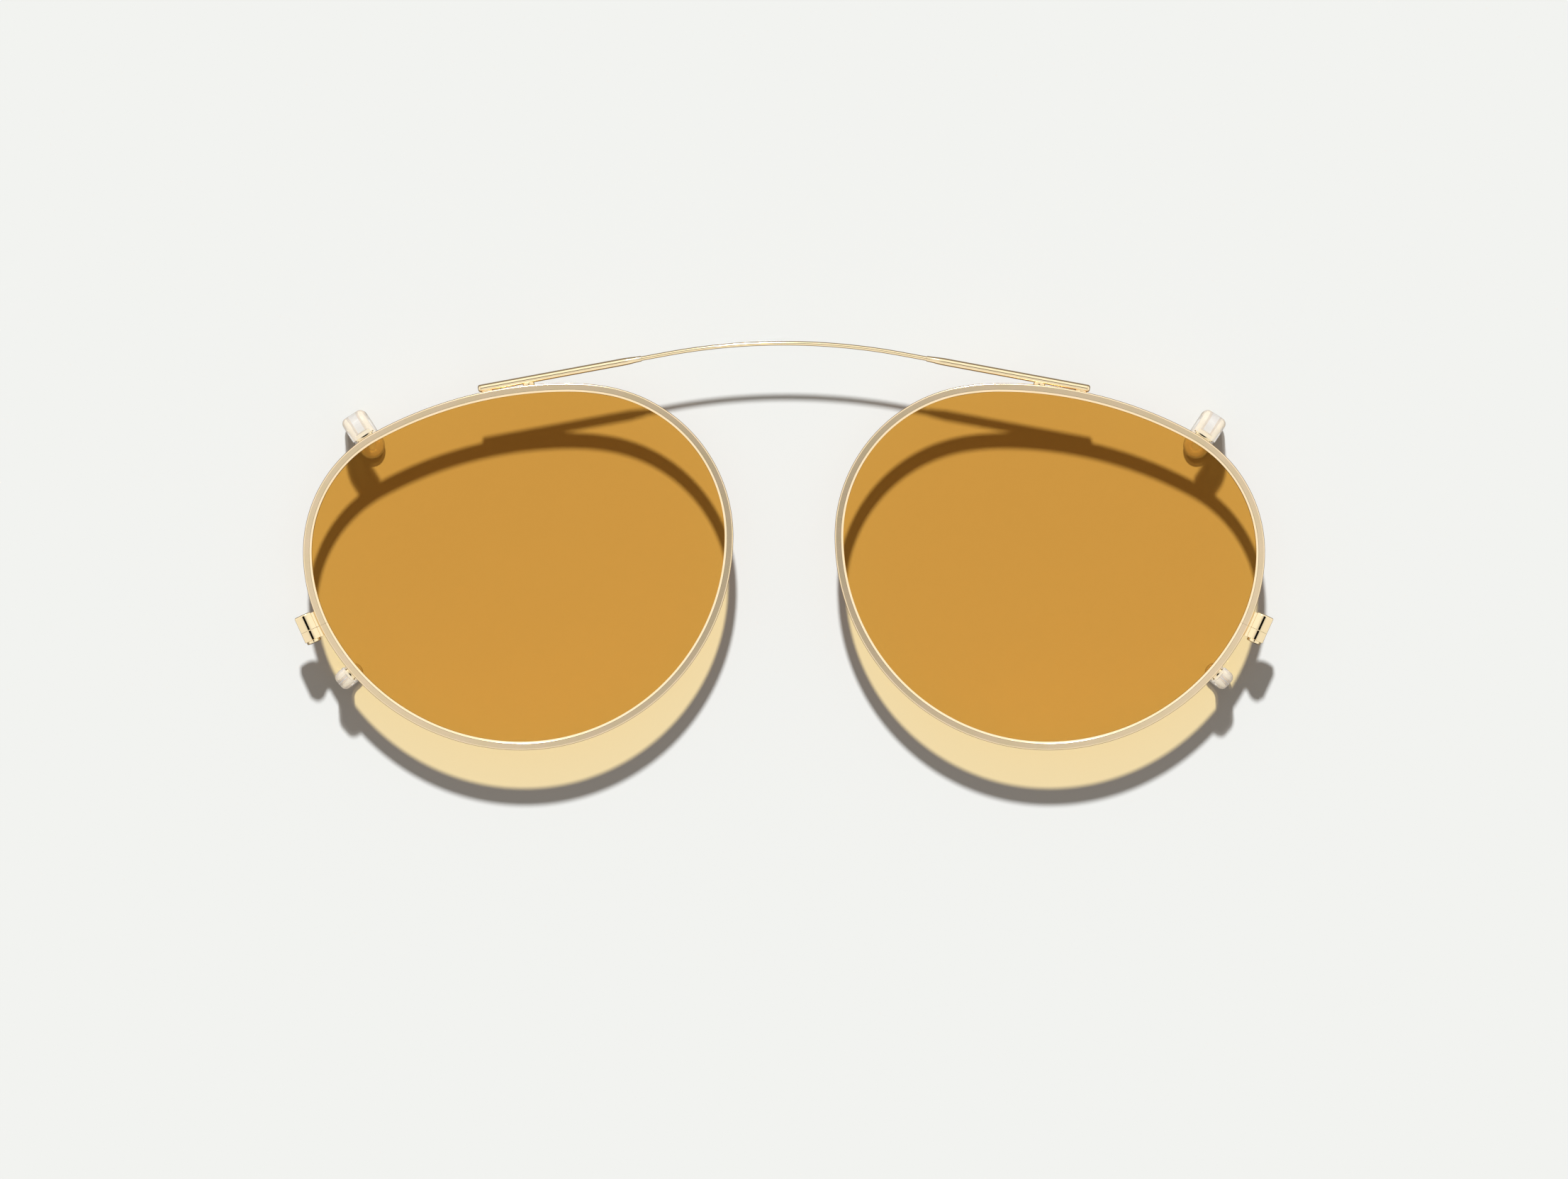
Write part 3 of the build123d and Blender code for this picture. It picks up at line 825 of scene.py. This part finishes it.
# %% Tubes
TUBE_R = (tube_high.z - tube_low.z) / 2
TUBE_BORE = 0.40 * MM
NECK_BORE = 0.305 * MM
NECK_R = 0.36 * MM
NECK_LENGTH = 2.3 * MM
NECK_STEPS = 10
PLUG_HEAD = 0.35 * MM
PLUG_SHANK = 1.4 * MM
PLUG_SEAM = 0.01 * MM             # the fine line between the plug's head and the tube
DOME_FLAT = 0.16 * MM             # the radius of the dome's flat middle
TUBE_LIP = 0.02 * MM
plug_low, plug_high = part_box("right_tube_plug")
tube_length = (tube_high.x - tube_up.x * TUBE_R - tube_start.x) / tube_dir.x


def make_tube():
    """Bridge tube with its neck drawn down over the wire."""
    lip = TUBE_LIP
    profile = [(tube_length, TUBE_BORE), (NECK_LENGTH + lip, TUBE_BORE), (NECK_LENGTH, NECK_BORE)]
    profile += [(lip, NECK_BORE), (0, NECK_BORE + lip), (0, NECK_R - lip), (lip, NECK_R)]
    for step in range(1, NECK_STEPS + 1):
        share = step / NECK_STEPS
        swell = share * share * (3 - 2 * share)
        profile.append((lip + (NECK_LENGTH - lip) * share, NECK_R + (TUBE_R - NECK_R) * swell))
    profile += [(tube_length - lip, TUBE_R), (tube_length, TUBE_R - lip), (tube_length, TUBE_BORE)]
    bm = bmesh.new()
    turned(bm, tube_start, tube_dir, tube_up, profile)
    return bm


def make_plug():
    """Plug in the tube's outer end, with a domed head."""
    dome = quarter(tube_length + PLUG_HEAD, DOME_FLAT, TUBE_R - DOME_FLAT, 8)
    profile = [(tube_length - PLUG_SHANK, 0), (tube_length - PLUG_SHANK, TUBE_BORE)]
    profile += [(tube_length + PLUG_SEAM, TUBE_BORE), (tube_length + PLUG_SEAM, TUBE_R - PLUG_SEAM)]
    profile += [(tube_length + 2 * PLUG_SEAM, TUBE_R)] + dome[::-1] + [(tube_length + PLUG_HEAD, 0)]
    bm = bmesh.new()
    turned(bm, tube_start, tube_dir, tube_up, profile)
    return bm


place_pair("necked_tube", make_tube(), BRIGHT_GOLD, ["bridge_tube"])
place_pair("domed_plug", make_plug(), BRIGHT_GOLD, ["tube_plug"])

# %% [markdown]
# ## Solder
# Two beads of gold solder hold each tube to its eyewire. A bead is a sphere that is stretched
# along the joint and wetted out at its ends, so it bulges less where it meets the metal.

# %% Solder
SOLDER_PLACES = (-4.5 * MM, 0.9 * MM)      # along the tube from where it touches the eyewire
SOLDER_HALF = (0.75 * MM, 0.62 * MM, 0.36 * MM)
SOLDER_OFF = (0.62 * MM, 0.56 * MM)        # from the tube's axis towards the eyewire
SOLDER_CLEAR = 0.46 * MM                   # a bead ends inside the tube's wall, not in its bore
TUBE_PAST = 2.0 * MM                       # the tube's length past where it touches the eyewire
touch_along = tube_length + PLUG_HEAD - TUBE_PAST


def make_solder():
    """Two solder beads between a tube and its eyewire."""
    bm = bmesh.new()
    for along, off in zip(SOLDER_PLACES, SOLDER_OFF):
        at = tube_start + tube_dir * (touch_along + along) - tube_up * off
        frame_axes = Matrix((tube_dir, tube_up, UP)).transposed().to_4x4()
        stretch = Matrix.Diagonal((*SOLDER_HALF, 1))
        bead = Matrix.Translation(at) @ frame_axes @ stretch
        bmesh.ops.create_uvsphere(bm, u_segments=32, v_segments=20, radius=1, matrix=bead)
    for v in bm.verts:
        along = (v.co - tube_start).dot(tube_dir)
        axis_point = tube_start + tube_dir * along
        away = v.co - axis_point
        if away.length < SOLDER_CLEAR:
            v.co = axis_point + (away - tube_up * LAND).normalized() * SOLDER_CLEAR
    return bm


place_pair("solder_beads", make_solder(), SOLDER_GOLD, ["tube_solder"])

# %% [markdown]
# ## Prongs
# A prong is one wire bent double. It leaves a small foot on the eyewire, turns down behind the
# lens and hooks back under the spectacle frame, inside a flat clear sleeve. Each part has the
# same route, so one helper carries a section along it: straight, turned, straight, turned.

# %% Prong route
ARM_DROP = 0.25 * MM
BEND_RADIUS = 1.1 * MM
SLEEVE_DEPTH = 1.55 * MM
SLEEVE_WALL = 0.34 * MM
SLEEVE_START = 0.3 * MM
PRONG_R = 0.425 * MM
WIRE_INTO_FOOT = 0.15 * MM
ARM_Z = RIM_MID - ARM_DROP
HOOK_Z = SLEEVE_DEPTH / 2
BEND_STEPS = 20
PRONGS = {
    "upper_prong": {"arc": 0, "share": 0.93, "leg": 0.9, "straight": 1.325, "tip": 1.7, "foot_out": 0.95},
    "lower_prong": {"arc": 6, "share": 0.805, "leg": 0.475, "straight": 0.025, "tip": 0.2, "foot_out": 0.7},
}


def prong_frame(prong):
    """Where a prong stands: its point on the lens edge, out and sideways."""
    point, out = station(prong["arc"], prong["share"])
    return Vector((point.x, point.y, 0)), out, out.cross(UP)


def prong_places(prong):
    """How far out the back of the prong and the end of its hook are."""
    half_width = prong["leg"] * MM + SLEEVE_DEPTH / 2
    back = RIM_WIDTH + SLEEVE_START + prong["straight"] * MM + BEND_RADIUS
    return back, half_width - prong["tip"] * MM, half_width


def along_route(bm, ring, prong, start):
    """Carry a ring that stands at start out along the arm, down and back to the hook's end."""
    point, out, sideways = prong_frame(prong)
    back, tip, _ = prong_places(prong)
    bend = BEND_RADIUS
    over_bends = point + out * (back - bend)
    ring = draw_out(bm, ring, out * (back - bend - start))
    ring = spin(bm, ring, over_bends + UP * (ARM_Z - bend), sideways, -math.pi / 2, BEND_STEPS)
    ring = draw_out(bm, ring, -UP * (ARM_Z - HOOK_Z - 2 * bend))
    ring = spin(bm, ring, over_bends + UP * (HOOK_Z + bend), sideways, -math.pi / 2, BEND_STEPS)
    return draw_out(bm, ring, -out * (back - bend - tip))


# %% Prong wire
def make_prong_wire(prong):
    """One wire bent double: two legs joined by a half turn at the hook's end."""
    point, out, sideways = prong_frame(prong)
    _, tip, _ = prong_places(prong)
    start = RIM_WIDTH + WIRE_INTO_FOOT
    leg = prong["leg"] * MM
    bm = bmesh.new()
    ends = []
    for side in (1, -1):
        centre = point + out * start + sideways * (side * leg) + UP * ARM_Z
        ring = circle(bm, centre, sideways, UP, PRONG_R)
        cap(bm, ring)
        ends.append(along_route(bm, ring, prong, start))
    spin(bm, ends[0], point + out * tip + UP * HOOK_Z, UP, -math.pi, 2 * BEND_STEPS)
    return bm


# %% Clear sleeve
SLOT_STEPS = 18


def slot_points(half_width, half_depth, steps=SLOT_STEPS):
    """A flat oval as (sideways, up) pairs, from the middle of its lower side."""
    points = [(0, -half_depth)]
    for side in (1, -1):
        middle = side * (half_width - half_depth)
        for step in range(steps + 1):
            turn = -math.pi / 2 + math.pi * step / steps
            points.append((middle + half_depth * side * math.cos(turn), side * half_depth * math.sin(turn)))
        if side == 1:
            points.append((0, half_depth))
    return points


def sleeve_skin(bm, prong, start, inset):
    """One wall of the sleeve, from its open mouth to the round tip."""
    point, out, sideways = prong_frame(prong)
    _, tip, half_width = prong_places(prong)
    points = slot_points(half_width - inset, SLEEVE_DEPTH / 2 - inset)
    base = point + UP * ARM_Z
    mouth = loop_of(bm, [base + out * start + sideways * p[0] + UP * p[1] for p in points])
    along_route(bm, mouth, prong, start)
    half = [p for p in points if p[0] >= -1e-9]
    hook = point + out * tip + UP * HOOK_Z
    edge = loop_of(bm, [hook + sideways * p[0] + UP * p[1] for p in half], closed=False)
    spin(bm, edge, hook, UP, -math.pi, 2 * SLOT_STEPS)
    return mouth


def make_sleeve(prong):
    """Flat clear sleeve with its bore, open at the eyewire and closed at the tip."""
    bm = bmesh.new()
    start = RIM_WIDTH + SLEEVE_START
    outer = sleeve_skin(bm, prong, start, 0)
    inner = sleeve_skin(bm, prong, start, SLEEVE_WALL)
    bmesh.ops.bridge_loops(bm, edges=outer + inner)
    return bm


# %% Foot
FOOT_HALF = 0.55 * MM
FOOT_SIDE = {"upper_prong": 0.2 * MM, "lower_prong": 0.325 * MM}
FOOT_TOP = 0.35 * MM              # from the eyewire to the highest line of the foot
FOOT_CROWN_RADIUS = 2.9 * MM
FOOT_CROWN = 0.034 * MM
FOOT_CORNER = 0.3 * MM
FOOT_END = 0.3 * MM
FOOT_INTO_RIM = 0.1 * MM
FOOT_STEPS = 6


def make_foot(name, prong):
    """Polished foot between eyewire and wires, crowned both ways, with a rounded end."""
    point, out, sideways = prong_frame(prong)
    half_width = prong["leg"] * MM + FOOT_SIDE[name]
    length = prong["foot_out"] * MM
    section = crowned_section(2 * half_width, 2 * FOOT_HALF, FOOT_CROWN, FOOT_CORNER)
    bm = bmesh.new()
    rings = []
    for step in range(FOOT_STEPS + 1):
        u = -FOOT_INTO_RIM + (length - FOOT_END + FOOT_INTO_RIM) * step / FOOT_STEPS
        rings.append((u, 0.0, (u - FOOT_TOP) ** 2 / (2 * FOOT_CROWN_RADIUS)))
    last_drop = rings[-1][2]
    for step in range(1, FOOT_STEPS + 1):
        turn = math.pi / 2 * step / FOOT_STEPS
        shrink = FOOT_END * (1 - math.cos(turn))
        rings.append((length - FOOT_END * (1 - math.sin(turn)), shrink, shrink + last_drop))
    loops = []
    for u, narrow, drop in rings:
        wide, tall = 1 - narrow / half_width, 1 - drop / FOOT_HALF
        at = point + out * (RIM_WIDTH + u) + UP * ARM_Z
        points = [at + sideways * (p.x * wide) + UP * (p.y * tall) for p in section]
        loops.append(loop_of(bm, points))
    cap(bm, loops[0])
    for ring, following in zip(loops, loops[1:]):
        bmesh.ops.bridge_loops(bm, edges=ring + following)
    cap(bm, loops[-1])
    return bm


for name, prong in PRONGS.items():
    place_pair(name + "_core", make_prong_wire(prong), BRIGHT_GOLD, [name + "_wire"])
    place_pair(name + "_solder_foot", make_foot(name, prong), BRIGHT_GOLD, [name + "_foot"])
    place_pair(name + "_clear_sleeve", make_sleeve(prong), CLEAR_SLEEVE, [name + "_sleeve"])

# %% [markdown]
# ## Springs and stops
# A coil spring in each tube pulls the halves together. It is pressed shorter between the neck
# and the stop when a lens is pulled out.
# A ring spun round the tube's axis and moved on at each step makes the coil. The stops are
# right as they were packed and only need a better finish.

# %% Springs
SPRING_R = 0.045 * MM
SPRING_FIT = 0.0125 * MM          # between the coil and the bore
COIL_R = TUBE_BORE - SPRING_FIT - SPRING_R
SPRING_TURNS = 24
COIL_STEPS = 20                   # round one turn
SPRING_GAP = 0.05 * MM            # between the spring and what it presses on


def make_spring(start, height):
    """Coil spring round the tube's axis."""
    bm = bmesh.new()
    ring = circle(bm, start + tube_up * COIL_R, tube_up, tube_dir, SPRING_R, steps=8)
    cap(bm, ring)
    steps = SPRING_TURNS * COIL_STEPS
    made = bmesh.ops.spin(
        bm, geom=verts_of(ring) + ring, cent=start, axis=tube_dir, dvec=tube_dir * (height / steps),
        angle=math.tau * SPRING_TURNS, steps=steps,
    )
    cap(bm, edges_in(made["geom_last"]))
    return bm


stop_low, stop_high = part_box("right_wire_stop")
stop_r = (stop_high.z - stop_low.z) / 2
stop_start = (stop_low.x + tube_up.x * stop_r - tube_start.x) / tube_dir.x
coil_start = NECK_LENGTH + SPRING_GAP + SPRING_R
coil_height = stop_start - SPRING_GAP - SPRING_R - coil_start
spring_mesh = make_spring(tube_start + tube_dir * coil_start, coil_height)
finish_mesh(spring_mesh)
for side, sign in SIDES.items():
    coil = mirrored(spring_mesh, sign)
    name = side + "_coil_spring"
    piece = place(name, coil, SPRING_STEEL, "bridge", [side + "_return_spring"])
    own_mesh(piece)
    coil.free()
spring_mesh.free()

# %% Stops
for side in SIDES:
    packed = bpy.data.objects[side + "_wire_stop"]
    for spot in packed.material_slots:
        spot.material = SPRING_STEEL
    print(side, "stop in polished steel")

# %% [markdown]
# ## Table top and light
# The clip lies on a pale matt table, prongs down. One low lamp behind it throws long soft
# shadows, and a bright sky of white screens all round gives polished metal something to show.
# The screens stop at a dark round gap straight overhead, where the camera looks through, and
# that gap makes the thin black lines along every rounded piece.

# %% Table top
TABLE_SIZE = 4.0
TABLE_DROP = 0.02 * MM            # keeps the prongs just off the table
TABLE_COLOR = (0.861, 0.892, 0.894, 1)
TABLE_PAINTED_SHADE = (0.30, 0.28, 0.25, 1)    # painted dark reflection: the table's colour in polished metal, and painted shade where it is seen behind a lens and a sleeve


def make_table():
    """A large pale matt table top."""
    bm = bmesh.new()
    bmesh.ops.create_grid(bm, x_segments=1, y_segments=1, size=TABLE_SIZE / 2)
    mesh = bpy.data.meshes.new("table_top")
    bm.to_mesh(mesh)
    bm.free()
    table = bpy.data.objects.new("table_top", mesh)
    bpy.context.scene.collection.objects.link(table)
    mesh.transform(Matrix.Translation((0, 0, -TABLE_DROP)))
    material, tree, shader, places = start_material("table_top")
    shader.inputs["Roughness"].default_value = 1.0
    shader.inputs["Specular IOR Level"].default_value = 0.0
    rays = tree.nodes.new("ShaderNodeLightPath")
    seen = add_node(tree, "ShaderNodeMix", data_type="RGBA")
    seen.inputs["A"].default_value = TABLE_COLOR
    seen.inputs["B"].default_value = TABLE_PAINTED_SHADE
    # Painted shade: the table turns dark where a ray reflects off metal or has passed behind a lens and a
    # sleeve.
    painted_shade_behind_lens = add_node(tree, "ShaderNodeMath", operation="GREATER_THAN", in_1=CLEAR_FACES)
    dark = add_node(tree, "ShaderNodeMath", operation="MAXIMUM")
    under = tree.nodes.new("ShaderNodeNewGeometry")
    open_below = tree.nodes.new("ShaderNodeBsdfTransparent")
    sides = tree.nodes.new("ShaderNodeMixShader")
    join(
        tree,
        (rays.outputs["Transmission Depth"], painted_shade_behind_lens.inputs[0]),
        (rays.outputs["Is Reflection Ray"], dark.inputs[0]),
        (painted_shade_behind_lens.outputs["Value"], dark.inputs[1]),
        (dark.outputs["Value"], seen.inputs["Factor"]),
        (seen.outputs["Result"], shader.inputs["Base Color"]),
        (under.outputs["Backfacing"], sides.inputs["Fac"]),
        (shader.outputs["BSDF"], sides.inputs[1]),
        (open_below.outputs["BSDF"], sides.inputs[2]),
        (sides.outputs["Shader"], tree.nodes["Material Output"].inputs["Surface"]),
    )
    mesh.materials.append(material)


make_table()

# %% Lamp
LAMP_HEIGHT = math.radians(45.6)
LAMP_TURN = math.radians(3.4)
LAMP_STRENGTH = 3.46

lamp = bpy.data.lights.new("lamp", "SUN")
lamp.energy = LAMP_STRENGTH
lamp.angle = math.radians(3.6)
lamp.color = (1.0, 0.995, 0.985)
lamp_object = bpy.data.objects.new("lamp", lamp)
bpy.context.scene.collection.objects.link(lamp_object)
lamp_from = Vector((
    -math.sin(LAMP_TURN) * math.cos(LAMP_HEIGHT),
    math.cos(LAMP_TURN) * math.cos(LAMP_HEIGHT),
    math.sin(LAMP_HEIGHT),
))
lamp_object.rotation_euler = lamp_from.to_track_quat("Z", "Y").to_euler()

# %% [markdown]
# The sky is worked out from the way a ray points. Its height above the table picks a place on
# two ramps of brightness, one for the lamp's side and one for the side towards the maker, and
# how far the ray points to either side blends them. Rays that have met the matt table get a
# plain dim light instead, so that the shadows stay as deep as the lamp makes them. Rays behind a
# lens and a sleeve see a dark sky. This is painted shade that keeps the hooks dark there, as the
# eyewire's shadow does.

# %% Sky of white screens
AMBIENT = (0.245, 0.222, 0.200)
BACKDROP = (0.87, 0.88, 0.855)
DARK = (0.20, 0.17, 0.13)
# painted shade: the dark sky seen from behind a lens and a sleeve
PAINTED_SHADE_BEHIND_LENS = (0.10, 0.08, 0.06)
# angle from straight up in degrees, and brightness there
FAR_SIDE = ((0, 0.0), (5.5, 0.0), (8.5, 0.74), (16, 1.0), (24, 1.2), (70, 1.3), (76, 0.35), (84, 0.16))
NEAR_SIDE = ((0, 0.0), (5.5, 0.0), (8.5, 0.92), (16, 0.95), (50, 0.92), (62, 1.2), (88, 1.0), (98, 0.2))


def fill_ramp(ramp, stops):
    """Put brightness stops, by angle from straight up, on a colour ramp."""
    elements = ramp.color_ramp.elements
    while len(elements) > 1:
        elements.remove(elements[-1])
    for i, (angle, level) in enumerate(stops):
        element = elements[0] if i == 0 else elements.new(angle / 180)
        element.position = angle / 180
        if level < 0.5 and i > 1:
            element.color = (level, level * DARK[1] / DARK[0], level * DARK[2] / DARK[0], 1)
        else:
            element.color = (level, level * 0.985, level * 0.955, 1)


def make_sky():
    """White screens for polished metal, dim light for the table, a plain wall for the camera, and a painted
    dark sky behind a lens and a sleeve.
    """
    world = bpy.data.worlds.new("screens")
    bpy.context.scene.world = world
    world.use_nodes = True
    world.cycles.sampling_method = "NONE"
    tree = world.node_tree
    way = tree.nodes.new("ShaderNodeTexCoord")
    parts = tree.nodes.new("ShaderNodeSeparateXYZ")
    from_top = add_node(tree, "ShaderNodeMath", operation="ARCCOSINE")
    share = add_node(tree, "ShaderNodeMath", operation="DIVIDE", in_1=math.pi)
    flat_length = add_node(tree, "ShaderNodeMath", operation="SINE")
    sideways = add_node(tree, "ShaderNodeMath", operation="DIVIDE")
    spread = add_node(tree, "ShaderNodeMapRange", in_1=-0.7, in_2=0.7)
    far_ramp = tree.nodes.new("ShaderNodeValToRGB")
    near_ramp = tree.nodes.new("ShaderNodeValToRGB")
    fill_ramp(far_ramp, FAR_SIDE)
    fill_ramp(near_ramp, NEAR_SIDE)
    screens = add_node(tree, "ShaderNodeMix", data_type="RGBA")
    rays = tree.nodes.new("ShaderNodeLightPath")
    unreflected = add_node(tree, "ShaderNodeMath", operation="MAXIMUM")
    # Painted shade: rays that passed behind a lens and a sleeve see a dark sky.
    painted_shade_in_sky = add_node(tree, "ShaderNodeMath", operation="GREATER_THAN", in_1=CLEAR_FACES)
    shown = add_node(tree, "ShaderNodeMix", data_type="RGBA")
    shown.inputs["B"].default_value = (*PAINTED_SHADE_BEHIND_LENS, 1)
    wall = add_node(tree, "ShaderNodeMix", data_type="RGBA")
    wall.inputs["B"].default_value = (*BACKDROP, 1)
    from_table = add_node(tree, "ShaderNodeMath", operation="MINIMUM", in_1=1.0)
    light = add_node(tree, "ShaderNodeMix", data_type="RGBA")
    light.inputs["B"].default_value = (*AMBIENT, 1)
    join(
        tree,
        (way.outputs["Generated"], parts.inputs["Vector"]),
        (parts.outputs["Z"], from_top.inputs[0]),
        (from_top.outputs["Value"], share.inputs[0]),
        (from_top.outputs["Value"], flat_length.inputs[0]),
        (parts.outputs["Y"], sideways.inputs[0]),
        (flat_length.outputs["Value"], sideways.inputs[1]),
        (sideways.outputs["Value"], spread.inputs["Value"]),
        (share.outputs["Value"], far_ramp.inputs["Fac"]),
        (share.outputs["Value"], near_ramp.inputs["Fac"]),
        (spread.outputs["Result"], screens.inputs["Factor"]),
        (near_ramp.outputs["Color"], screens.inputs["A"]),
        (far_ramp.outputs["Color"], screens.inputs["B"]),
        (rays.outputs["Is Camera Ray"], unreflected.inputs[0]),
        (rays.outputs["Is Transmission Ray"], unreflected.inputs[1]),
        (unreflected.outputs["Value"], wall.inputs["Factor"]),
        (rays.outputs["Transmission Depth"], painted_shade_in_sky.inputs[0]),
        (painted_shade_in_sky.outputs["Value"], shown.inputs["Factor"]),
        (wall.outputs["Result"], shown.inputs["A"]),
        (shown.outputs["Result"], light.inputs["A"]),
        (screens.outputs["Result"], wall.inputs["A"]),
        (rays.outputs["Diffuse Depth"], from_table.inputs[0]),
        (from_table.outputs["Value"], light.inputs["Factor"]),
        (light.outputs["Result"], tree.nodes["Background"].inputs["Color"]),
    )


make_sky()
bpy.context.scene.view_settings.view_transform = "Standard"

# %% [markdown]
# ## Camera
# The camera looks straight down from far away through a long lens, so that both halves of the
# clip show without perspective.

# %% Camera
VIEW_WIDTH = 0.2011
VIEW_Y = -0.00563
CAMERA_AWAY = 1.4
SENSOR = 0.036

camera = bpy.data.cameras.new("camera")
camera.sensor_width = SENSOR * 1000
camera.lens = SENSOR * 1000 * CAMERA_AWAY / VIEW_WIDTH
camera_object = bpy.data.objects.new("camera", camera)
bpy.context.scene.collection.objects.link(camera_object)
camera_object.location = (0, VIEW_Y, RIM_TOP + CAMERA_AWAY)
bpy.context.scene.camera = camera_object
